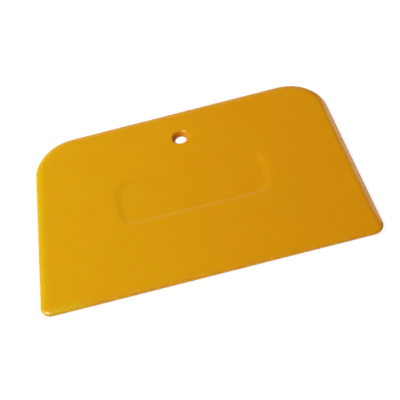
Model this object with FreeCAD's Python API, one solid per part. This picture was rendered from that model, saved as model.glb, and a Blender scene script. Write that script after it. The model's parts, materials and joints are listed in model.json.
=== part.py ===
"""A squeegee applicator for film and vinyl, moulded in one piece of plastic.

The plate lies on its back face. X runs along the blade edge, +Y points from the blade edge
to the grip edge, and +Z points out of the front face. The origin is the middle of the back
face. All sizes are in millimetres.
"""
import FreeCAD, Part

import math
import os

# Outline of the plate, between its straight edges before the corners are rounded.
blade_width = 120.0
grip_width = 106.0
plate_height = 76.0
blade_corner_radius = 3.8
grip_corner_radius = 15.6

# Section of the plate: the front face rises from a thinner blade edge to a thicker grip edge.
blade_thickness = 2.0
grip_thickness = 2.4
edge_radius = 0.94

# Hang hole near the grip edge: a straight throat from the back, then a cone to the front face.
hole_inset = 12.5
hole_throat_diameter = 4.1
hole_throat_height = 0.9
hole_mouth_diameter = 6.3
hole_mouth_rounding = 0.8
hole_throat_rounding = 0.4
hole_back_rounding = 0.2

# Shallow panel in the front face: its flat floor, and the sloped wall round the floor.
panel_length = 51.0
panel_breadth = 16.5
panel_corner_radius = 4.2
panel_inset = 38.8
panel_depth = 0.45
panel_wall_run = 2.1
panel_blend_radius = 6.0

# A rounding takes at most this share of the wall that carries it.
rounding_share = 0.47
# Cutting tools stand out by this much past the faces that they open.
tool_overshoot = 2.0
# Points closer than this are the same point.
same_point = 1e-4

blade_y = -plate_height / 2
grip_y = plate_height / 2
hole_y = grip_y - hole_inset
panel_y = blade_y + panel_inset
thinnest = min(blade_thickness, grip_thickness)
thickest = max(blade_thickness, grip_thickness)
front_slope = math.atan2(grip_thickness - blade_thickness, plate_height)


def vector(x, y, z=0.0):
    """A point or a direction."""
    return FreeCAD.Vector(x, y, z)


def front_height(y):
    """Height of the front face over the back face at a place along the plate."""
    return blade_thickness + (y - blade_y) * math.tan(front_slope)


def depth_under_front(point):
    """Distance of a point below the front face, square to that face."""
    return (front_height(point.y) - point.z) * math.cos(front_slope)


def middle_of(edge):
    """Point halfway along an edge."""
    return edge.valueAt((edge.FirstParameter + edge.LastParameter) / 2)


def same(a, b):
    """True for two lengths that differ by less than the tolerance."""
    return abs(a - b) < same_point


def in_front_face(point):
    """True for a point of the sloping front face."""
    return same(depth_under_front(point), 0)


def in_back_face(point):
    """True for a point of the flat back face."""
    return same(point.z, 0)


def corner_arc(before, corner, after, radius):
    """Arc of the given radius, tangent to both straight edges that meet in a corner."""
    to_before = (before - corner).normalize()
    to_after = (after - corner).normalize()
    half_angle = to_before.getAngle(to_after) / 2
    setback = radius / math.tan(half_angle)
    inward = (to_before + to_after).normalize()
    crest = corner + inward * (radius / math.sin(half_angle) - radius)
    return Part.Arc(corner + to_before * setback, crest, corner + to_after * setback).toShape()


def rounded_polygon(corners, radii):
    """Closed wire of straight edges and tangent arcs."""
    count = len(corners)
    arcs = []
    for i in range(count):
        arcs.append(corner_arc(corners[i - 1], corners[i], corners[(i + 1) % count], radii[i]))
    edges = []
    for i, arc in enumerate(arcs):
        end = arc.lastVertex(True).Point
        start_of_next = arcs[(i + 1) % count].firstVertex(True).Point
        edges += [arc, Part.makeLine(end, start_of_next)]
    return Part.Wire(edges)


def plate_outline():
    """Trapezoid with small corners at the blade edge and large ones at the grip edge."""
    corners = [
        vector(-blade_width / 2, blade_y),
        vector(blade_width / 2, blade_y),
        vector(grip_width / 2, grip_y),
        vector(-grip_width / 2, grip_y),
    ]
    blade_and_grip = 2 * [blade_corner_radius] + 2 * [grip_corner_radius]
    return rounded_polygon(corners, blade_and_grip)


def tapered_slab():
    """Wedge between the back face and the sloping front face, larger than the outline."""
    side_x = max(blade_width, grip_width) / 2 + tool_overshoot
    low_y = blade_y - tool_overshoot
    high_y = grip_y + tool_overshoot
    section = Part.makePolygon([
        vector(-side_x, low_y),
        vector(-side_x, high_y),
        vector(-side_x, high_y, front_height(high_y)),
        vector(-side_x, low_y, front_height(low_y)),
        vector(-side_x, low_y),
    ])
    return Part.Face(section).extrude(vector(2 * side_x, 0))


def edges_inside(solid, cutter, wanted):
    """Edges of a solid whose middle is inside a cutter's box and passes a test."""
    middles = [(edge, middle_of(edge)) for edge in solid.Edges]
    return [edge for edge, point in middles if cutter.BoundBox.isInside(point) and wanted(point)]


def rounded_blank():
    """Plate with its taper and its rounded edge all round, still without panel and hole."""
    prism = Part.Face(plate_outline()).extrude(vector(0, 0, thickest + tool_overshoot))
    blank = prism.common(tapered_slab()).Solids[0]

    def in_a_face(point):
        return in_front_face(point) or in_back_face(point)

    rims = [edge for edge in blank.Edges if in_a_face(middle_of(edge))]
    return blank.makeFillet(min(edge_radius, rounding_share * thinnest), rims)


def panel_rectangle(growth, height):
    """Rounded rectangle of the panel floor, grown evenly outwards and set at a height."""
    half_length = panel_length / 2 + growth
    half_breadth = panel_breadth / 2 + growth
    corners = [
        vector(-half_length, -half_breadth, height),
        vector(half_length, -half_breadth, height),
        vector(half_length, half_breadth, height),
        vector(-half_length, half_breadth, height),
    ]
    return rounded_polygon(corners, 4 * [panel_corner_radius + growth])


def panel_cutter():
    """Cutter of the panel, whose wall goes on as far above the front face as below it."""
    floor = panel_rectangle(0, -panel_depth)
    top = panel_rectangle(2 * panel_wall_run, panel_depth)
    cutter = Part.makeLoft([floor, top], True, True)
    cutter.rotate(vector(0, 0), vector(1, 0), math.degrees(front_slope))
    cutter.translate(vector(0, panel_y, front_height(panel_y)))
    return cutter


def with_panel(plate):
    """Plate with the panel sunk into its front face, soft at the lip and at the foot."""
    cutter = panel_cutter()
    sunk = plate.cut(cutter).Solids[0]

    def at_lip_or_foot(point):
        return in_front_face(point) or same(depth_under_front(point), panel_depth)

    edges = edges_inside(sunk, cutter, at_lip_or_foot)
    wall_angle = math.atan2(panel_depth, panel_wall_run)
    wall_length = math.hypot(panel_depth, panel_wall_run)
    largest = rounding_share * wall_length / math.tan(wall_angle / 2)
    return sunk.makeFillet(min(panel_blend_radius, largest), edges)


def hole_cone_section():
    """Length of the hole's cone from the throat to the front face, and its half angle."""
    widening = (hole_mouth_diameter - hole_throat_diameter) / 2
    rise = front_height(hole_y) - hole_throat_height
    return math.hypot(widening, rise), math.atan2(widening, rise)


def hole_cutter():
    """Cutter of the hang hole: the throat, and the cone carried on above the front face."""
    length, half_angle = hole_cone_section()
    throat_radius = hole_throat_diameter / 2
    cone_height = length * math.cos(half_angle) + tool_overshoot
    top_radius = throat_radius + cone_height * math.tan(half_angle)
    foot = vector(0, hole_y, -tool_overshoot)
    step = vector(0, hole_y, hole_throat_height)
    throat = Part.makeCylinder(throat_radius, hole_throat_height + tool_overshoot, foot)
    cone = Part.makeCone(throat_radius, top_radius, cone_height, step)
    return throat.fuse(cone)


def hole_roundings():
    """Radii of the mouth, throat and back roundings, which all leave some plain wall."""
    length, half_angle = hole_cone_section()
    mouth_turn = math.pi / 2 - half_angle
    shorter_wall = min(length, hole_throat_height)
    largest_mouth = rounding_share * length / math.tan(mouth_turn / 2)
    largest_throat = rounding_share * shorter_wall / math.tan(half_angle / 2)
    largest_back = rounding_share * hole_throat_height
    return (
        min(hole_mouth_rounding, largest_mouth),
        min(hole_throat_rounding, largest_throat),
        min(hole_back_rounding, largest_back),
    )


def with_hang_hole(plate):
    """Plate with the hang hole cut through it and the three rims of the hole rounded."""
    cutter = hole_cutter()

    def at_throat(point):
        return same(point.z, hole_throat_height)

    bored = plate.cut(cutter).Solids[0]
    for radius, at_rim in zip(hole_roundings(), [in_front_face, at_throat, in_back_face]):
        bored = bored.makeFillet(radius, edges_inside(bored, cutter, at_rim))
    return bored


def squeegee_plate():
    """The whole moulding."""
    return with_hang_hole(with_panel(rounded_blank()))


os.makedirs("parts", exist_ok=True)
plate = squeegee_plate()
plate.exportStep("parts/squeegee_plate.step")
print("squeegee_plate: valid", plate.isValid(), "volume mm3", round(plate.Volume, 1))
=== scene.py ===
"""Look model of a moulded plastic squeegee applicator.

The plate is one closed mesh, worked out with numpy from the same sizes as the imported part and
placed in the part's own frame, in metres. Around it stand a pale floor, soft studio lamps and
the camera.
"""
import json
import logging
import math
from dataclasses import dataclass
from enum import Enum
from typing import Sequence

import bpy
import numpy as np
from mathutils import Matrix, Vector


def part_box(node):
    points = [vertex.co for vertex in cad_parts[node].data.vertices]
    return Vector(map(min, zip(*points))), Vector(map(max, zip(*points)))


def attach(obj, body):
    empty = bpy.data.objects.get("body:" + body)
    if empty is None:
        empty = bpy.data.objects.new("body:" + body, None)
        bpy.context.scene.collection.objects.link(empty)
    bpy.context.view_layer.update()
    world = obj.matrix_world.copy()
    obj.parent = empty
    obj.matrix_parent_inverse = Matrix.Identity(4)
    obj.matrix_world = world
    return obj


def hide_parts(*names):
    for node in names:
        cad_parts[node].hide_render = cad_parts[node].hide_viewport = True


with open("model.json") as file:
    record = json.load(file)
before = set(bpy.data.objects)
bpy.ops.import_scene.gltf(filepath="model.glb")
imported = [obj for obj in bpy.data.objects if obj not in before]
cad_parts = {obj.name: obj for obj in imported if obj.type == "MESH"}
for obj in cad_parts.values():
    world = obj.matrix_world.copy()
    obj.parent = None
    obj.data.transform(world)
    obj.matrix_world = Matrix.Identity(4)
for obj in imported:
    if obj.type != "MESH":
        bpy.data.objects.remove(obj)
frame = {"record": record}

Pair = tuple[float, float]
Triple = tuple[float, float, float]
Socket = bpy.types.NodeSocket
Array = np.ndarray

LOG = logging.getLogger("squeegee")
MM = 0.001
CAD_NODE = "squeegee_plate"
INSET = "inset"
BORE = "bore"


class Side(Enum):
    """The two large faces of the plate."""

    FRONT = 1
    BACK = -1


# ---- Shapes ------------------------------

@dataclass(frozen=True)
class Outline:
    """Rounded trapezoid of the plate, seen from the front.

    The straight edges are tangent to one arc per corner. A small turn weighs as much as a
    length, so that points gather on the arcs.
    """

    half_reach: float
    blade_y: float
    grip_y: float
    side_slant: float
    blade_corner: float
    grip_corner: float
    turn_weight: float = 14 * MM

    def blade_half_width(self) -> float:
        """Half the blade edge up to the crossing of the straight edges.

        Returns:
            The length.
        """
        slant = math.atan(self.side_slant)
        cut_off = self.blade_corner * (self.side_slant + 1 / math.cos(slant) - 1)
        return self.half_reach + cut_off

    def corners(self) -> tuple[Array, Array]:
        """Crossings of the straight edges, anticlockwise from the left end of the blade.

        Returns:
            Corner points (4, 2) and the radius that rounds each of them (4,).
        """
        wide = self.blade_half_width()
        narrow = wide - self.side_slant * (self.grip_y - self.blade_y)
        points = np.array([[-wide, self.blade_y], [wide, self.blade_y],
                           [narrow, self.grip_y], [-narrow, self.grip_y]])
        radii = np.array([self.blade_corner] * 2 + [self.grip_corner] * 2)
        return points, radii

    def section(self, index: int, shares: Array) -> tuple[Array, Array]:
        """One quarter of the outline, from the crest of a corner to the crest of the next.

        A share is how far a point has come in the sum of its length and its weighted turn:
        half of the first arc, then the straight edge, then half of the second arc.

        Args:
            index: number of the first corner.
            shares: places along the section, from 0 to 1.

        Returns:
            Points (n, 2) and outward normals (n, 2).
        """
        points, radii = self.corners()
        start, end = points[index], points[(index + 1) % 4]
        along = (end - start) / np.linalg.norm(end - start)
        outward = np.array([along[1], -along[0]])
        before = start - points[index - 1]
        after = points[(index + 2) % 4] - end
        turn_in = self._turn(before, along)
        turn_out = self._turn(along, after)
        radius_in, radius_out = radii[index], radii[(index + 1) % 4]
        setback_in = radius_in * math.tan(turn_in / 2)
        setback_out = radius_out * math.tan(turn_out / 2)
        straight = np.linalg.norm(end - start) - setback_in - setback_out
        measure_in = (radius_in + self.turn_weight) * turn_in / 2
        measure_out = (radius_out + self.turn_weight) * turn_out / 2
        measure = shares * (measure_in + straight + measure_out)
        angle_in = np.clip(measure / (radius_in + self.turn_weight), 0, turn_in / 2) - turn_in / 2
        angle_out = np.clip((measure - measure_in - straight) / (radius_out + self.turn_weight),
                            0, turn_out / 2)
        run = np.clip(measure - measure_in, 0, straight)
        angle = angle_in + angle_out
        normals = (np.cos(angle)[:, None] * outward + np.sin(angle)[:, None] * along)
        radius = np.where(angle < 0, radius_in, radius_out)
        base = start + along * (setback_in + run)[:, None]
        centres = base - outward * radius[:, None]
        return centres + normals * radius[:, None], normals

    def inset_at(self, plan: Array) -> Array:
        """Distance of points inside the outline.

        It is the distance to the nearest straight edge. Outside the centre of a corner's arc
        it is the radius of the arc less the distance to that centre.

        Args:
            plan: points (n, 2).

        Returns:
            Distances (n,).
        """
        points, radii = self.corners()
        along = np.roll(points, -1, axis=0) - points
        along /= np.linalg.norm(along, axis=1)[:, None]
        inward = np.stack([-along[:, 1], along[:, 0]], axis=1)
        to_edges = np.einsum("nij,ij->ni", plan[:, None] - points[None], inward)
        inset = to_edges.min(axis=1)
        for i, (corner, radius) in enumerate(zip(points, radii)):
            lean = radius / (1 + inward[i - 1] @ inward[i])
            offset = plan - (corner + (inward[i - 1] + inward[i]) * lean)
            beyond = (offset @ along[i - 1] > 0) & (offset @ along[i] < 0)
            inset = np.where(beyond, radius - np.linalg.norm(offset, axis=1), inset)
        return inset

    @staticmethod
    def _turn(first: Array, second: Array) -> float:
        """Angle between two directions."""
        cosine = first @ second / np.linalg.norm(first) / np.linalg.norm(second)
        return math.acos(cosine)


@dataclass(frozen=True)
class Panel:
    """Shallow recess in the front face: a flat floor inside a sloped wall with soft edges."""

    centre_y: float
    length: float
    breadth: float
    corner: float
    depth: float
    wall_run: float
    blend: float

    def distance(self, x: Array, y: Array) -> Array:
        """Signed distance to the outline of the floor, positive outside it.

        It is the distance to a rectangle that lies inside by the corner's radius, less that
        radius.

        Args:
            x: places along the blade edge.
            y: places across it.

        Returns:
            Distances, in the same shape.
        """
        beyond_x = np.abs(x) - self.length / 2 + self.corner
        beyond_y = np.abs(y - self.centre_y) - self.breadth / 2 + self.corner
        outside = np.hypot(np.maximum(beyond_x, 0), np.maximum(beyond_y, 0))
        inside = np.minimum(np.maximum(beyond_x, beyond_y), 0)
        return outside + inside - self.corner

    def depth_at(self, x: Array, y: Array) -> Array:
        """Depth below the front face: floor, foot arc, straight wall, lip arc, face.

        With s the distance to the floor's outline, the foot is an arc that leaves the floor
        and meets the wall, and the lip is the same arc turned round.

        Args:
            x: places along the blade edge.
            y: places across it.

        Returns:
            Depths, in the same shape.
        """
        s = self.distance(x, y)
        slope = math.atan2(self.depth, self.wall_run)
        tangent = self.blend * math.tan(slope / 2)
        reach = tangent * math.cos(slope)
        foot = self.depth - self.blend + np.sqrt(
            np.maximum(self.blend ** 2 - np.clip(s + tangent, 0, None) ** 2, 0))
        lip = self.blend - np.sqrt(
            np.maximum(self.blend ** 2 - np.clip(self.wall_run + tangent - s, 0, None) ** 2, 0))
        wall = self.depth - s * math.tan(slope)
        return np.select([s < reach, s < self.wall_run - reach], [foot, wall], lip)


@dataclass(frozen=True)
class HangHole:
    """Round hole through the plate: a straight throat that widens towards the front face.

    Attributes:
        centre_y: place of the hole's axis.
        throat_radius: radius of the straight wall that starts at the back.
        throat_height: height of the straight wall over the back face.
        mouth_radius: radius of the widening at the front face.
        soft_mouth: rounding radius where the widening meets the front face.
        soft_throat: rounding radius where the widening meets the straight wall.
        soft_back: rounding radius where the straight wall meets the back face.
        block: half side of the square of face mesh that surrounds the hole.
        rings: number of rings of face mesh round the hole.
        last_ring: place of the last of them on the way to the hole, as a share.
        steps: number of steps round each rounding.
    """

    centre_y: float
    throat_radius: float
    throat_height: float
    mouth_radius: float
    soft_mouth: float
    soft_throat: float
    soft_back: float
    block: float
    rings: int = 7
    last_ring: float = 0.94
    steps: int = 10

    def profile(self, front: float) -> tuple[Array, Array]:
        """Half section of the hole, from the front face down to the back face.

        The section is a run of straight lines. Each corner is replaced by the arc that touches
        both of its lines, and the points of an arc stand at even steps of its turn.

        Args:
            front: height of the front face at the hole's axis.

        Returns:
            Distances from the axis and heights over the back face.
        """
        slant = (self.mouth_radius - self.throat_radius) / (front - self.throat_height)
        corners = np.array([[self.mouth_radius, front],
                            [self.throat_radius, self.throat_height],
                            [self.throat_radius, 0.0]])
        ways = np.array([[-1.0, 0.0], [-slant, -1.0], [0.0, -1.0], [1.0, 0.0]])
        ways /= np.linalg.norm(ways, axis=1)[:, None]
        radii = (self.soft_mouth, self.soft_throat, self.soft_back)
        runs = []
        for corner, before, after, radius in zip(corners, ways[:-1], ways[1:], radii):
            turn = math.acos(float(np.clip(before @ after, -1.0, 1.0)))
            bend = np.linspace(0.0, turn, self.steps + 1)[:, None]
            aside = after - before * math.cos(turn)
            aside /= np.linalg.norm(aside)
            start = corner - before * radius * math.tan(turn / 2)
            runs.append(start + radius * (np.sin(bend) * before + (1 - np.cos(bend)) * aside))
        points = np.concatenate(runs)
        return points[:, 0], points[:, 1]

    def reach(self, side: Side, front: float) -> float:
        """Distance from the axis at which a face starts to roll into the hole."""
        distance, _ = self.profile(front)
        return float(distance[0] if side is Side.FRONT else distance[-1])


@dataclass(frozen=True)
class Shoulder:
    """Soft fall of the plate towards its outline, shallower along the blade edge.

    The mesh and the finish share these measures, so that both fall in the same place.

    Attributes:
        blade_y: place of the blade edge.
        width: distance from the outline at which the fall begins.
        thinning: share of its height that the plate loses at the outline.
        blade_part: part of the fall that is left along the blade edge.
        near: distance from the blade edge up to which only that part is left.
        far: distance from the blade edge at which the whole fall is there.
    """

    blade_y: float
    width: float = 2.7 * MM
    thinning: float = 0.05
    blade_part: float = 0.5
    near: float = 2.0 * MM
    far: float = 10.0 * MM

    def kept(self, inset: Array, y: Array) -> Array:
        """Share of its height that the plate keeps.

        With t rising from 0 where the fall begins to 1 at the outline, the loss goes with
        6t^5 - 15t^4 + 10t^3. With u rising from 0 to 1 away from the blade edge, the part that
        counts goes with 3u^2 - 2u^3.

        Args:
            inset: distances inside the outline (n,).
            y: places across the blade edge (n,).

        Returns:
            Shares (n,).
        """
        t = 1 - np.clip(inset / self.width, 0.0, 1.0)
        loss = t ** 3 * (t * (6 * t - 15) + 10)
        u = np.clip((y - self.blade_y - self.near) / (self.far - self.near), 0.0, 1.0)
        part = self.blade_part + (1 - self.blade_part) * u ** 2 * (3 - 2 * u)
        return 1 - self.thinning * part * loss


@dataclass(frozen=True)
class Spacing:
    """Spacing of the grid lines in the plate's faces.

    Attributes:
        wall: across the panel's wall.
        wall_margin: how far past the floor's outline that spacing reaches.
        inner_margin_x: how far inside the floor's corners it reaches along the blade edge.
        inner_margin_y: the same, across the blade edge.
        floor_x: along the panel's floor.
        floor_y: across the panel's floor.
        hole: round the hang hole.
        grip_side: between the panel and the grip edge, and beside the panel.
        blade_side: between the panel and the blade edge.
        end_margin: how far inside the ends of the blade edge the lines stop.
    """

    wall: float = 0.25 * MM
    wall_margin: float = 3 * MM
    inner_margin_x: float = 2 * MM
    inner_margin_y: float = 1 * MM
    floor_x: float = 1.3 * MM
    floor_y: float = 0.8 * MM
    hole: float = 0.5 * MM
    grip_side: float = 1.0 * MM
    blade_side: float = 1.2 * MM
    end_margin: float = 17 * MM


@dataclass
class MeshStock:
    """Collects grids of points and joins them into one closed mesh.

    Attributes:
        weld: points this close together become one.
    """

    weld: float = 0.002 * MM

    def __post_init__(self) -> None:
        """Starts with no grids."""
        self.points: list[Array] = []
        self.quads: list[Array] = []
        self.count = 0

    def add(self, grid: Array, closed: bool, keep: Array | None = None) -> None:
        """Adds a grid of points, rows by columns, as quads.

        Args:
            grid: points (rows, columns, 3), anticlockwise seen from outside.
            closed: True where the last column joins the first.
            keep: which cells become quads, all of them if None.
        """
        rows, columns = grid.shape[:2]
        index = np.arange(rows * columns).reshape(rows, columns) + self.count
        if closed:
            index = np.concatenate([index, index[:, :1]], axis=1)
        cells = np.stack([index[:-1, :-1], index[:-1, 1:], index[1:, 1:], index[1:, :-1]], axis=-1)
        if keep is not None:
            cells = cells[keep]
        self.points.append(grid.reshape(-1, 3))
        self.quads.append(cells.reshape(-1, 4))
        self.count += rows * columns

    def build(self, name: str) -> bpy.types.Object:
        """Welds the points that two grids share and makes the object.

        Args:
            name: name of the new object.

        Returns:
            The object, in the scene, with smooth faces.
        """
        points = np.concatenate(self.points)
        quads = np.concatenate(self.quads)
        _, first, same_as = np.unique(np.round(points / self.weld).astype(np.int64), axis=0,
                                      return_index=True, return_inverse=True)
        quads = same_as.reshape(-1)[quads]
        used, quads = np.unique(quads, return_inverse=True)
        quads = quads.reshape(-1, 4)
        mesh = bpy.data.meshes.new(name)
        mesh.from_pydata(points[first][used].tolist(), [], quads.tolist())
        mesh.validate()
        mesh.polygons.foreach_set("use_smooth", np.ones(len(mesh.polygons), bool))
        mesh.update()
        piece = bpy.data.objects.new(name, mesh)
        bpy.context.scene.collection.objects.link(piece)
        return piece


def graded_lines(stops: Sequence[float], steps: Sequence[float]) -> Array:
    """Grid lines that are evenly spaced between stops, with a step of its own in each span.

    Args:
        stops: ends of the spans, rising.
        steps: spacing wanted in each span.

    Returns:
        Places of the lines.
    """
    spans = [np.linspace(low, high, max(1, round((high - low) / step)) + 1)[:-1]
             for low, high, step in zip(stops[:-1], stops[1:], steps)]
    return np.concatenate(spans + [np.array([stops[-1]])])


@dataclass
class SqueegeePlate:
    """The moulded plate: both faces, the rounded edge, the panel and the hang hole.

    Attributes:
        outline: form of the plate seen from the front.
        panel: recess in the front face.
        hole: hang hole.
        shoulder: soft fall towards the outline.
        blade_thickness: thickness at the blade edge.
        grip_thickness: thickness at the grip edge.
        edge_round: radius that rounds the edge on both faces.
        parting_height: height of the bead that the mould's halves leave on the edge.
        parting_width: half width of that bead.
        spacing: spacing of the grid lines in the faces.
        core_margin: distance from the blade and grip edges at which those lines stop.
        skirt_starts: places of the two first rows between the edge and the core, as shares.
        skirt_rows: number of rows from the second of them to the core.
        edge_steps: number of steps round each rounding of the edge.
        band_steps: number of steps between the two roundings.
    """

    outline: Outline
    panel: Panel
    hole: HangHole
    shoulder: Shoulder
    blade_thickness: float
    grip_thickness: float
    edge_round: float
    parting_height: float = 0.03 * MM
    parting_width: float = 0.07 * MM
    spacing: Spacing = Spacing()
    core_margin: float = 4.5 * MM
    skirt_starts: Pair = (0.012, 0.07)
    skirt_rows: int = 14
    edge_steps: int = 10
    band_steps: int = 10

    def front_height(self, y: Array) -> Array:
        """Height of the front face: a straight rise from the blade edge to the grip edge."""
        share = (y - self.outline.blade_y) / (self.outline.grip_y - self.outline.blade_y)
        return self.blade_thickness + (self.grip_thickness - self.blade_thickness) * share

    def face_height(self, side: Side, x: Array, y: Array) -> Array:
        """Height of a face over its own plan, with the panel in the front one.

        Args:
            side: which face.
            x: places along the blade edge.
            y: places across it.

        Returns:
            Heights, in the same shape.
        """
        if side is Side.BACK:
            return np.zeros_like(x)
        return self.front_height(y) - self.panel.depth_at(x, y)

    def core_lines(self) -> tuple[Array, Array]:
        """Grid lines of the core, dense round the panel's wall and the hang hole.

        Returns:
            The lines across X and the lines across Y.
        """
        panel, hole, space = self.panel, self.hole, self.spacing
        outer_x = panel.length / 2 + space.wall_margin
        inner_x = panel.length / 2 - panel.corner - space.inner_margin_x
        edge_x = self.outline.blade_half_width() - space.end_margin
        right = graded_lines([0, hole.block, inner_x, outer_x, edge_x],
                             [space.hole, space.floor_x, space.wall, space.grip_side])
        lines_x = np.concatenate([-right[:0:-1], right])
        half = panel.breadth / 2
        low = panel.centre_y - half - space.wall_margin
        high = panel.centre_y + half + space.wall_margin
        bend = half - panel.corner - space.inner_margin_y
        lines_y = graded_lines(
            [self.outline.blade_y + self.core_margin, low, panel.centre_y - bend,
             panel.centre_y + bend, high, hole.centre_y - hole.block,
             hole.centre_y + hole.block, self.outline.grip_y - self.core_margin],
            [space.blade_side, space.wall, space.floor_y, space.wall, space.grip_side,
             space.hole, space.grip_side])
        return lines_x, lines_y

    def loop_and_outline(self) -> tuple[Array, Array, Array]:
        """Edge of the core, and the point of the outline that faces each of its points.

        Returns:
            Core loop (n, 2), outline points (n, 2) and outline normals (n, 2).
        """
        x, y = self.core_lines()
        flat_x, flat_y = np.ones_like(x), np.ones_like(y)
        sides = [np.stack([x, y[0] * flat_x], 1), np.stack([x[-1] * flat_y, y], 1),
                 np.stack([x[::-1], y[-1] * flat_x], 1), np.stack([x[0] * flat_y, y[::-1]], 1)]
        shares = [(x - x[0]) / (x[-1] - x[0]), (y - y[0]) / (y[-1] - y[0])]
        ways = [shares[0], shares[1], 1 - shares[0][::-1], 1 - shares[1][::-1]]
        found = [self.outline.section(i, way[:-1]) for i, way in enumerate(ways)]
        loop = np.concatenate([side[:-1] for side in sides])
        points = np.concatenate([f[0] for f in found])
        normals = np.concatenate([f[1] for f in found])
        return loop, points, normals

    def edge_section(self) -> tuple[Array, Array, Array]:
        """Section of the rounded edge, from the front face round to the back face.

        Returns:
            Inset from the outline, share of the band between the two roundings that lies
            below each point, and height over the centre of its own rounding.
        """
        radius = self.edge_round
        turn = np.linspace(0, math.pi / 2, self.edge_steps + 1)
        band = np.linspace(1, 0, self.band_steps + 1)[1:-1]
        inset = np.concatenate([radius * (1 - np.sin(turn)), np.zeros_like(band),
                                radius * (1 - np.cos(turn))])
        share = np.concatenate([np.ones_like(turn), band, np.zeros_like(turn)])
        rise = np.concatenate([radius * np.cos(turn), np.zeros_like(band),
                               -radius * np.sin(turn)])
        return inset, share, rise

    def edge_grid(self, points: Array, normals: Array) -> Array:
        """The rounded edge: its section carried round the outline.

        The parting line of the mould is a low bell-shaped bead at half height.

        Args:
            points: outline points (n, 2).
            normals: outline normals (n, 2).

        Returns:
            Points (rows, n, 3), from the front face to the back face.
        """
        inset, share, rise = self.edge_section()
        rim_y = points[:, 1] - (self.edge_round + self.parting_height) * normals[:, 1]
        top = self.front_height(rim_y) - self.edge_round
        low = self.edge_round
        height = low + share[:, None] * (top - low)[None, :]
        middle = (low + top) / 2
        bead = self.parting_height * np.exp(-((height - middle) / self.parting_width) ** 2)
        bead *= (np.abs(rise) == 0)[:, None]
        out = bead - self.parting_height - inset[:, None]
        plan = points[None] + out[:, :, None] * normals[None]
        return np.dstack([plan, height + rise[:, None]])

    def face_grids(self, side: Side, stock: MeshStock, loop: Array,
                   points: Array, normals: Array) -> None:
        """One large face: a skirt from the edge to the core, the core, and the hole's block.

        The skirt's rows run straight from the rounded edge to the core's loop, close together
        at first. The block's rows run straight from a square to the hole's rim.

        Args:
            side: which face.
            stock: collects the grids.
            loop: edge of the core (n, 2).
            points: outline points (n, 2).
            normals: outline normals (n, 2).
        """
        rim = points - (self.edge_round + self.parting_height) * normals
        first, second = self.skirt_starts
        rows = np.concatenate([[0, first], np.linspace(second, 1, self.skirt_rows)])
        rows = rows[:, None, None]
        skirt = rim[None] * (1 - rows) + loop[None] * rows
        x, y = self.core_lines()
        core = np.stack(np.meshgrid(x, y), axis=-1)
        middle_x, middle_y = (x[1:] + x[:-1]) / 2, (y[1:] + y[:-1]) / 2
        block = self.hole.block
        hole_y = self.hole.centre_y
        inside_x, inside_y = np.abs(middle_x) < block, np.abs(middle_y - hole_y) < block
        keep = ~(inside_x[None, :] & inside_y[:, None])
        square, angle = self.block_loop(x, y)
        reach = self.hole.reach(side, self.front_height(hole_y))
        circle = np.stack([reach * np.cos(angle), hole_y + reach * np.sin(angle)], 1)
        steps = np.concatenate([np.linspace(0, self.hole.last_ring, self.hole.rings), [1]])
        steps = steps[:, None, None]
        block_grid = square[None] * (1 - steps) + circle[None] * steps
        for plan, closed, cells in ((skirt, True, None), (core, False, keep),
                                    (block_grid, True, None)):
            height = self.face_height(side, plan[..., 0], plan[..., 1])
            grid = np.dstack([plan, height])
            if side is Side.BACK:
                grid = grid[::-1]
                cells = None if cells is None else cells[::-1]
            stock.add(grid, closed, cells)

    def block_loop(self, x: Array, y: Array) -> tuple[Array, Array]:
        """Square loop of core points round the hang hole.

        Args:
            x: the core's lines across X.
            y: the core's lines across Y.

        Returns:
            Points (n, 2), anticlockwise, and their directions from the hole's axis (n,).
        """
        block, hole_y = self.hole.block, self.hole.centre_y
        slack = 0.01 * MM
        inner_x = x[np.abs(x) < block + slack]
        inner_y = y[np.abs(y - hole_y) < block + slack]
        flat_x, flat_y = np.ones_like(inner_x), np.ones_like(inner_y)
        sides = [np.stack([inner_x, inner_y[0] * flat_x], 1),
                 np.stack([inner_x[-1] * flat_y, inner_y], 1),
                 np.stack([inner_x[::-1], inner_y[-1] * flat_x], 1),
                 np.stack([inner_x[0] * flat_y, inner_y[::-1]], 1)]
        square = np.concatenate([side[:-1] for side in sides])
        return square, np.arctan2(square[:, 1] - hole_y, square[:, 0])

    def bore_grid(self, angle: Array) -> Array:
        """Wall and rims of the hang hole, turned round its axis.

        Heights above the throat are stretched a little so that the mouth follows the slope of
        the front face.

        Args:
            angle: direction of each column from the hole's axis (n,).

        Returns:
            Points (rows, n, 3), from the front face down to the back face.
        """
        hole = self.hole
        front = self.front_height(hole.centre_y)
        distance, level = hole.profile(front)
        plan_x = distance[:, None] * np.cos(angle)[None]
        plan_y = hole.centre_y + distance[:, None] * np.sin(angle)[None]
        share = np.clip((level - hole.throat_height) / (front - hole.throat_height), 0.0, 1.0)
        height = level[:, None] + share[:, None] * (self.front_height(plan_y) - front)
        return np.dstack([plan_x, plan_y, height])

    def build(self, name: str) -> bpy.types.Object:
        """Makes the closed mesh of the plate.

        Args:
            name: name of the new object.

        Returns:
            The object.
        """
        stock = MeshStock()
        loop, points, normals = self.loop_and_outline()
        stock.add(self.edge_grid(points, normals)[::-1], closed=True)
        for side in Side:
            self.face_grids(side, stock, loop, points, normals)
        _, angle = self.block_loop(*self.core_lines())
        stock.add(self.bore_grid(angle), closed=True)
        stock.points = [self.thinned(points) for points in stock.points]
        piece = stock.build(name)
        self.mark_places(piece.data)
        return piece

    def thinned(self, points: Array) -> Array:
        """Lowers points near the outline by the fall of the shoulder.

        Args:
            points: points of the plate (n, 3).

        Returns:
            The points with their new heights (n, 3).
        """
        kept = self.shoulder.kept(self.outline.inset_at(points[:, :2]), points[:, 1])
        return np.column_stack([points[:, :2], points[:, 2] * kept])

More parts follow.
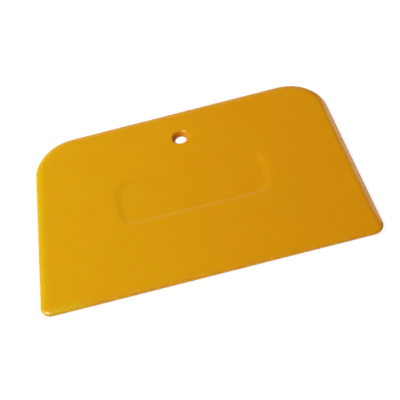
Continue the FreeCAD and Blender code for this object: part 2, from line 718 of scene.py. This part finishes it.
    def mark_places(self, mesh: bpy.types.Mesh) -> None:
        """Stores on each point where it lies, for the rim's wear, painted glow and shoulder, and
        the hole's painted shade.

        One value is the distance inside the outline. The other rises from 0 where the hole's
        mouth begins to 1 at its throat.

        Args:
            mesh: mesh of the plate.
        """
        places = np.empty(len(mesh.vertices) * 3, np.float32)
        mesh.vertices.foreach_get("co", places)
        plan = places.reshape(-1, 3)[:, :2]
        mouth = self.hole.reach(Side.FRONT, self.front_height(self.hole.centre_y))
        from_axis = np.hypot(plan[:, 0], plan[:, 1] - self.hole.centre_y)
        bore = np.clip((mouth - from_axis) / (mouth - self.hole.throat_radius), 0.0, 1.0)
        for name, values in ((INSET, self.outline.inset_at(plan)), (BORE, bore)):
            marks = mesh.attributes.new(name, "FLOAT", "POINT")
            marks.data.foreach_set("value", values.astype(np.float32))


# ---- Finishes ------------------------------

@dataclass(frozen=True)
class Mottle:
    """Uneven pattern: a noise of which one range is carried over to another.

    Attributes:
        cells: cells of the noise per metre.
        detail: number of finer layers in it.
        source: range of the noise.
        target: range that it becomes.
    """

    cells: float
    detail: float
    source: Pair
    target: Pair


@dataclass
class NodeSheet:
    """A material's node tree, with short calls to add and join nodes."""

    material: bpy.types.Material

    def __post_init__(self) -> None:
        """Clears the tree and adds the output node."""
        self.material.use_nodes = True
        self.tree = self.material.node_tree
        self.tree.nodes.clear()
        self.output = self.tree.nodes.new("ShaderNodeOutputMaterial")

    def node(self, kind: str, **settings: object) -> bpy.types.Node:
        """Adds a node.

        Args:
            kind: type of the node.
            **settings: properties of the node and their values.

        Returns:
            The node.
        """
        made = self.tree.nodes.new(kind)
        for key, value in settings.items():
            setattr(made, key, value)
        return made

    def join(self, source: Socket, target: Socket) -> None:
        """Links an output to an input."""
        self.tree.links.new(source, target)

    def stored(self, name: str) -> Socket:
        """Reads a value that the mesh stores on its points."""
        return self.node("ShaderNodeAttribute", attribute_name=name).outputs["Fac"]

    def axis(self, place: Socket, name: str) -> Socket:
        """Takes one coordinate, X, Y or Z, out of a place.

        Args:
            place: the place.
            name: name of the coordinate.

        Returns:
            The coordinate.
        """
        split = self.node("ShaderNodeSeparateXYZ")
        self.join(place, split.inputs[0])
        return split.outputs[name]

    def mottle(self, place: Socket, pattern: Mottle) -> Socket:
        """Adds an uneven pattern.

        Args:
            place: where the surface is.
            pattern: measures of the pattern.

        Returns:
            Value of the pattern.
        """
        noise = self.node("ShaderNodeTexNoise")
        noise.inputs["Scale"].default_value = pattern.cells
        noise.inputs["Detail"].default_value = pattern.detail
        self.join(place, noise.inputs["Vector"])
        return self.span(noise.outputs["Fac"], pattern.source, pattern.target)

    def span(self, value: Socket, source: Pair, target: Pair, course: str = "LINEAR") -> Socket:
        """Carries a value from one range over to another, without leaving it.

        Args:
            value: the value.
            source: range that counts.
            target: range that it becomes.
            course: how the new value moves between its ends.

        Returns:
            The new value.
        """
        made = self.node("ShaderNodeMapRange", clamp=True, interpolation_type=course)
        for slot, number in zip(made.inputs[1:5], (*source, *target)):
            slot.default_value = number
        self.join(value, made.inputs["Value"])
        return made.outputs[0]

    def blend(self, share: Socket, first: object, second: object) -> Socket:
        """Mixes two colours.

        Args:
            share: share of the second colour.
            first: socket or three numbers.
            second: socket or three numbers.

        Returns:
            The mixed colour.
        """
        made = self.node("ShaderNodeMix", data_type="RGBA")
        self.join(share, made.inputs["Factor"])
        for slot, colour in zip((made.inputs["A"], made.inputs["B"]), (first, second)):
            if isinstance(colour, Socket):
                self.join(colour, slot)
            else:
                slot.default_value = (*colour, 1.0)
        return made.outputs["Result"]

    def math(self, operation: str, first: object, second: object) -> Socket:
        """Reckons with two values.

        Args:
            operation: what is done with them.
            first: socket or number.
            second: socket or number.

        Returns:
            The result.
        """
        made = self.node("ShaderNodeMath", operation=operation)
        for slot, value in zip(made.inputs, (first, second)):
            if isinstance(value, Socket):
                self.join(value, slot)
            else:
                slot.default_value = value
        return made.outputs[0]


@dataclass(frozen=True)
class MouldedPlastic:
    """Amber plastic, satin from the mould, slightly translucent and a little worn at the rim.

    Attributes:
        shoulder: soft fall towards the outline, which the finish deepens.
        name: name of the material.
        lean: colour at the left end of the plate, painted lighter and yellower there as painted
            light.
        shaded_right_amber: colour at the right end, painted darker there as painted shade.
        painted_light_drift: places along X between which the one turns into the other, a painted
            gradient of light and shade.
        clouds: how the colour wanders from that.
        painted_rim_glow: painted glow along the rim of the left end, where more light comes
            through.
        painted_rim_glow_reach: distances inside the outline over which it fades.
        painted_rim_glow_end: places along X over which it fades.
        painted_rim_glow_share: its share on the outline.
        painted_bore_shade: painted shade on the hole's wall, darker and redder where light comes
            through the plastic.
        painted_bore_shade_reach: how far down the hole that painted shade begins and is complete.
        rubbed: colour of a worn place.
        worn_rim: distances inside the outline over which the wear fades.
        worn_patches: unevenness of the wear.
        worn_colour: share of the worn colour where the rim is most worn.
        worn_roughness: what the wear adds to the roughness.
        speck: place of one pale speck in the front face.
        speck_radius: radius of the speck.
        roughness: roughness of the faces.
        sheen_grain: fine unevenness of the roughness.
        sheen_marks: handling marks in the roughness.
        specular: strength of the surface sheen.
        scatter: share of the light that wanders inside the plastic.
        scatter_depth: how far that light goes.
        scatter_spread: share of that way for red, green and blue.
        shoulder_fall: how much deeper the shoulder looks than the mesh makes it.
        grain: height of the fine grain of the mould.
        waves: height of the long waves left by shrinkage.
    """

    shoulder: Shoulder
    name: str = "amber_plastic"
    lean: Triple = (0.70, 0.355, 0.004)
    shaded_right_amber: Triple = (0.68, 0.275, 0.003)
    painted_light_drift: Pair = (-60 * MM, 60 * MM)
    clouds: Mottle = Mottle(70, 3, (0.3, 0.7), (-0.06, 0.06))
    painted_rim_glow: Triple = (0.66, 0.47, 0.006)
    painted_rim_glow_reach: Pair = (0.5 * MM, 3.6 * MM)
    painted_rim_glow_end: Pair = (-50 * MM, -40 * MM)
    painted_rim_glow_share: float = 0.6
    painted_bore_shade: Triple = (0.66, 0.235, 0.003)
    painted_bore_shade_reach: Pair = (0.15, 0.75)
    rubbed: Triple = (0.72, 0.40, 0.03)
    worn_rim: Pair = (0.1 * MM, 0.9 * MM)
    worn_patches: Mottle = Mottle(160, 4, (0.42, 0.68), (0.0, 1.0))
    worn_colour: float = 0.35
    worn_roughness: float = 0.12
    speck: Triple = (-29.0 * MM, -26.3 * MM, 2.06 * MM)
    speck_radius: float = 0.6 * MM
    roughness: float = 0.24
    sheen_grain: Mottle = Mottle(900, 3, (0.0, 1.0), (-0.008, 0.008))
    sheen_marks: Mottle = Mottle(45, 4, (0.35, 0.65), (0.0, 0.02))
    specular: float = 0.2
    scatter: float = 0.2
    scatter_depth: float = 4.0 * MM
    scatter_spread: Triple = (1.0, 0.12, 0.03)
    shoulder_fall: float = 0.45 * MM
    grain: Mottle = Mottle(600, 2, (0.0, 1.0), (0.0, 0.0006 * MM))
    waves: Mottle = Mottle(55, 1, (0.0, 1.0), (0.0, 0.004 * MM))

    def make(self) -> bpy.types.Material:
        """Builds the material.

        Returns:
            The material.
        """
        material = bpy.data.materials.new(self.name)
        sheet = NodeSheet(material)
        shader = sheet.node("ShaderNodeBsdfPrincipled")
        shader.inputs["Specular IOR Level"].default_value = self.specular
        shader.inputs["Subsurface Weight"].default_value = self.scatter
        shader.inputs["Subsurface Radius"].default_value = self.scatter_spread
        shader.inputs["Subsurface Scale"].default_value = self.scatter_depth
        place = sheet.node("ShaderNodeTexCoord").outputs["Object"]
        inset = sheet.stored(INSET)
        wear = self.wear(sheet, place, inset)
        sheet.join(self.colour(sheet, place, inset, wear), shader.inputs["Base Color"])
        sheet.join(self.sheen(sheet, place, wear), shader.inputs["Roughness"])
        bump = sheet.node("ShaderNodeBump")
        bump.inputs["Distance"].default_value = 1.0
        sheet.join(self.relief(sheet, place, inset), bump.inputs["Height"])
        sheet.join(bump.outputs[0], shader.inputs["Normal"])
        sheet.join(shader.outputs[0], sheet.output.inputs["Surface"])
        return material

    def wear(self, sheet: NodeSheet, place: Socket, inset: Socket) -> Socket:
        """Mask of the rubbed rim: strongest on the edge itself, and patchy."""
        near = sheet.span(inset, self.worn_rim, (1.0, 0.0))
        return sheet.math("MULTIPLY", near, sheet.mottle(place, self.worn_patches))

    def colour(self, sheet: NodeSheet, place: Socket, inset: Socket, wear: Socket) -> Socket:
        """Colour: painted light along the plate and left rim, painted shade in the hole, slight
        clouds, pale wear.

        Args:
            sheet: the material's nodes.
            place: where the surface is.
            inset: distance inside the outline.
            wear: mask of the wear.

        Returns:
            The colour.
        """
        along = sheet.axis(place, "X")
        # Painted light and shade: lighter, yellower amber at the left end fading to darker amber
        # at the right end.
        painted_light_drift = sheet.span(along, self.painted_light_drift, (0.0, 1.0))
        clouds = sheet.mottle(place, self.clouds)
        face = sheet.blend(sheet.math("ADD", painted_light_drift, clouds), self.lean, self.shaded_right_amber)
        # Painted light: a paler, yellower glow along the rim of the left end.
        rim = sheet.span(inset, self.painted_rim_glow_reach, (self.painted_rim_glow_share, 0.0))
        left = sheet.span(along, self.painted_rim_glow_end, (1.0, 0.0))
        whole = sheet.blend(sheet.math("MULTIPLY", rim, left), face, self.painted_rim_glow)
        # Painted shade: the hole's wall turns darker and redder towards its throat.
        depth = sheet.span(sheet.stored(BORE), self.painted_bore_shade_reach, (0.0, 1.0))
        inner = sheet.blend(depth, whole, self.painted_bore_shade)
        away = sheet.node("ShaderNodeVectorMath", operation="DISTANCE")
        away.inputs[1].default_value = self.speck
        sheet.join(place, away.inputs[0])
        spot = sheet.span(away.outputs["Value"], (0.0, self.speck_radius), (1.0, 0.0))
        marked = sheet.blend(spot, inner, self.rubbed)
        return sheet.blend(sheet.math("MULTIPLY", wear, self.worn_colour), marked, self.rubbed)

    def sheen(self, sheet: NodeSheet, place: Socket, wear: Socket) -> Socket:
        """Roughness with a fine grain, faint handling marks and a duller worn rim.

        Args:
            sheet: the material's nodes.
            place: where the surface is.
            wear: mask of the wear.

        Returns:
            The roughness.
        """
        even = sheet.math("ADD", sheet.mottle(place, self.sheen_grain), self.roughness)
        marked = sheet.math("ADD", even, sheet.mottle(place, self.sheen_marks))
        return sheet.math("ADD", marked, sheet.math("MULTIPLY", wear, self.worn_roughness))

    def relief(self, sheet: NodeSheet, place: Socket, inset: Socket) -> Socket:
        """Height of the shoulder, the grain and the shrinkage waves together.

        The shoulder leaves the face and reaches the outline level, steepest halfway.

        Args:
            sheet: the material's nodes.
            place: where the surface is.
            inset: distance inside the outline.

        Returns:
            The height.
        """
        form = self.shoulder
        slope = sheet.span(inset, (0.0, form.width), (-self.shoulder_fall, 0.0), "SMOOTHERSTEP")
        blade_zone = (form.blade_y + form.near, form.blade_y + form.far)
        part = sheet.span(sheet.axis(place, "Y"), blade_zone, (form.blade_part, 1.0), "SMOOTHSTEP")
        fall = sheet.math("MULTIPLY", slope, part)
        grain = sheet.mottle(place, self.grain)
        return sheet.math("ADD", sheet.math("ADD", fall, grain), sheet.mottle(place, self.waves))


@dataclass(frozen=True)
class PaleFloor:
    """White floor that shows as plain white and still takes the soft shadow of the plate.

    Seen by the camera, in gloss or through something clear, it is mostly its own white. The
    light that it gives back to the plate is that of a matt white sheet.

    Attributes:
        name: name of the material.
        bounce: colour that lights the plate.
        shadow_share: share of the floor that is seen to be lit, and so takes the shadow.
        own_white: strength of its own white.
    """

    name: str = "pale_floor"
    bounce: Triple = (0.85, 0.85, 0.85)
    shadow_share: float = 0.14
    own_white: float = 0.9

    def make(self) -> bpy.types.Material:
        """Builds the material.

        Returns:
            The material.
        """
        material = bpy.data.materials.new(self.name)
        sheet = NodeSheet(material)
        matt = sheet.node("ShaderNodeBsdfDiffuse")
        matt.inputs["Color"].default_value = (*self.bounce, 1)
        shaded = sheet.node("ShaderNodeBsdfDiffuse")
        shaded.inputs["Color"].default_value = (*[self.shadow_share] * 3, 1)
        white = sheet.node("ShaderNodeEmission")
        white.inputs["Strength"].default_value = self.own_white
        seen = sheet.node("ShaderNodeAddShader")
        sheet.join(shaded.outputs[0], seen.inputs[0])
        sheet.join(white.outputs[0], seen.inputs[1])
        path = sheet.node("ShaderNodeLightPath")
        ray = sheet.math("ADD", path.outputs["Is Camera Ray"], path.outputs["Is Glossy Ray"])
        ray = sheet.math("ADD", ray, path.outputs["Is Transmission Ray"])
        choice = sheet.node("ShaderNodeMixShader")
        sheet.join(ray, choice.inputs[0])
        sheet.join(matt.outputs[0], choice.inputs[1])
        sheet.join(seen.outputs[0], choice.inputs[2])
        sheet.join(choice.outputs[0], sheet.output.inputs["Surface"])
        return material


# ---- Studio ------------------------------

class Glow(Enum):
    """Which part of the plate's sheen and colour a lamp brings out."""

    WHOLE = "whole"
    MATT = "matt"
    GLOSS = "gloss"


@dataclass(frozen=True)
class Softbox:
    """Square lamp that looks at the plate.

    Attributes:
        name: name of the lamp.
        azimuth: direction from +X towards +Y, in degrees.
        elevation: height over the floor, in degrees.
        level: brightness of the lamp's own face.
        glow: the rays that see the lamp.
        width: side of the square.
        distance: distance from the plate.
    """

    name: str
    azimuth: float
    elevation: float
    level: float
    glow: Glow = Glow.WHOLE
    width: float = 0.4
    distance: float = 1.1

    def make(self, target: Vector) -> bpy.types.Object:
        """Builds the lamp.

        Args:
            target: point that the lamp faces.

        Returns:
            The lamp's object.
        """
        lamp = bpy.data.lights.new(self.name, "AREA")
        lamp.shape = "SQUARE"
        lamp.size = self.width
        lamp.energy = self.level * math.pi * self.width ** 2
        made = bpy.data.objects.new(self.name, lamp)
        azimuth, elevation = math.radians(self.azimuth), math.radians(self.elevation)
        ground_reach = self.distance * math.cos(elevation)
        made.location = target + Vector((ground_reach * math.cos(azimuth),
                                         ground_reach * math.sin(azimuth),
                                         self.distance * math.sin(elevation)))
        made.rotation_euler = (target - made.location).to_track_quat("-Z", "Y").to_euler()
        made.visible_glossy = self.glow is not Glow.MATT
        made.visible_diffuse = self.glow is not Glow.GLOSS
        bpy.context.scene.collection.objects.link(made)
        return made


@dataclass(frozen=True)
class StudioCamera:
    """Long lens from the blade side, leaned over so that the plate lies askew.

    Attributes:
        lens_mm: focal length.
        sensor_mm: width of the sensor.
        distance: distance from the point that it looks at.
        elevation_deg: height over the floor.
        turn_deg: turn away from +Y, to the right.
        lean_deg: lean to the side.
        aim: point that it looks at.
        clip_end: how far it sees.
    """

    lens_mm: float = 135.0
    sensor_mm: float = 36.0
    distance: float = 524.51 * MM
    elevation_deg: float = 49.951
    turn_deg: float = -0.569
    lean_deg: float = -14.689
    aim: Triple = (1.547 * MM, -5.079 * MM, 1.5 * MM)
    clip_end: float = 20.0

    def make(self) -> bpy.types.Object:
        """Builds the camera and makes it the scene's own.

        Returns:
            The camera's object.
        """
        elevation, turn = math.radians(self.elevation_deg), math.radians(self.turn_deg)
        forward = Vector((math.sin(turn) * math.cos(elevation),
                          math.cos(turn) * math.cos(elevation), -math.sin(elevation)))
        level = forward.cross(Vector((0, 0, 1))).normalized()
        up = level.cross(forward)
        lean = math.radians(self.lean_deg)
        right = level * math.cos(lean) + up * math.sin(lean)
        top = right.cross(forward)
        turned = Matrix((right, top, -forward)).transposed()
        data = bpy.data.cameras.new("studio_camera")
        data.lens = self.lens_mm
        data.sensor_width = self.sensor_mm
        data.clip_end = self.clip_end
        made = bpy.data.objects.new("studio_camera", data)
        made.matrix_world = Matrix.Translation(
            Vector(self.aim) - forward * self.distance) @ turned.to_4x4()
        bpy.context.scene.collection.objects.link(made)
        bpy.context.scene.camera = made
        return made


@dataclass(frozen=True)
class Studio:
    """Pale floor, soft lamps and plain surroundings.

    Attributes:
        floor_half: half side of the floor.
        floor_gap: how far the floor lies under the plate.
        horizon: brightness of the surroundings at the horizon.
        zenith: brightness overhead.
        fade_height: height at which the first has become the second, from 0 to 1 overhead.
        boxes: the lamps.
    """

    floor_half: float = 3.0
    floor_gap: float = 0.02 * MM
    horizon: float = 0.35
    zenith: float = 0.0
    fade_height: float = 0.35
    boxes: tuple[Softbox, ...] = (
        Softbox("key_left", 167, 53, 23.2, Glow.MATT),
        Softbox("low_back", 90, 18, 6.2, Glow.MATT),
        Softbox("low_right", 340, 8, 4.0, Glow.MATT),
        Softbox("front_left", 210, 35, 3.8, Glow.MATT),
        Softbox("front_fill", 270, 10, 6.0, Glow.MATT),
        Softbox("strip_right", 42, 19, 8.8, Glow.GLOSS, 0.35),
        Softbox("glint_left", 196, 49, 42.0, Glow.GLOSS, 0.5),
    )

    def make(self, target: Vector) -> None:
        """Builds the floor, the lamps and the world.

        Args:
            target: point that the lamps face.
        """
        half = self.floor_half
        mesh = bpy.data.meshes.new("floor")
        mesh.from_pydata([(-half, -half, 0), (half, -half, 0), (half, half, 0), (-half, half, 0)],
                         [], [(0, 1, 2, 3)])
        floor = bpy.data.objects.new("floor", mesh)
        floor.location.z = -self.floor_gap
        bpy.context.scene.collection.objects.link(floor)
        mesh.materials.append(PaleFloor().make())
        for box in self.boxes:
            box.make(target)
        world = bpy.data.worlds.new("surroundings")
        world.use_nodes = True
        self.dress_sky(world.node_tree)
        bpy.context.scene.world = world

    def dress_sky(self, tree: bpy.types.NodeTree) -> None:
        """Makes the surroundings brightest at the horizon and dim overhead.

        Args:
            tree: the world's node tree.
        """
        place = tree.nodes.new("ShaderNodeTexCoord")
        split = tree.nodes.new("ShaderNodeSeparateXYZ")
        fade = tree.nodes.new("ShaderNodeMapRange")
        fade.inputs["From Max"].default_value = self.fade_height
        fade.inputs["To Min"].default_value = self.horizon
        fade.inputs["To Max"].default_value = self.zenith
        tree.links.new(place.outputs["Generated"], split.inputs[0])
        tree.links.new(split.outputs["Z"], fade.inputs["Value"])
        back = tree.nodes["Background"]
        back.inputs["Color"].default_value = (1.0, 1.0, 1.0, 1.0)
        tree.links.new(fade.outputs[0], back.inputs["Strength"])


def plate_from_frame() -> SqueegeePlate:
    """Takes the plate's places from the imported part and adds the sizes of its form.

    Returns:
        The plate, ready to build.
    """
    low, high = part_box(CAD_NODE)
    mount = next(m for m in frame["record"]["mounts"] if m["name"] == "hang_hole")
    outline = Outline(half_reach=high[0], blade_y=low[1], grip_y=high[1], side_slant=0.0921,
                      blade_corner=3.8 * MM, grip_corner=15.6 * MM)
    panel = Panel(centre_y=low[1] + 38.8 * MM, length=51.0 * MM, breadth=16.5 * MM,
                  corner=4.2 * MM, depth=0.45 * MM, wall_run=2.1 * MM, blend=6.0 * MM)
    hole = HangHole(centre_y=mount["pos_m"][1], throat_radius=mount["dims"]["r_mm"] * MM,
                    throat_height=0.9 * MM, mouth_radius=3.15 * MM, soft_mouth=0.8 * MM,
                    soft_throat=0.4 * MM, soft_back=0.2 * MM, block=6 * MM)
    return SqueegeePlate(outline, panel, hole, Shoulder(blade_y=low[1]),
                         blade_thickness=2.0 * MM, grip_thickness=2.4 * MM,
                         edge_round=0.94 * MM)


def main() -> None:
    """Builds the plate, the studio and the camera."""
    logging.basicConfig(level=logging.INFO, format="%(message)s")
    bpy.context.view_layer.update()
    StudioCamera().make()
    squeegee = plate_from_frame()
    plate = squeegee.build("moulded_plate")
    plate.data.materials.append(MouldedPlastic(squeegee.shoulder).make())
    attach(plate, "root")
    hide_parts(CAD_NODE)
    LOG.info("%s: %d faces", plate.name, len(plate.data.polygons))
    Studio().make(Vector((0, 0, 0)))
    bpy.context.scene.view_settings.view_transform = "Standard"


if __name__ == "__main__":
    main()
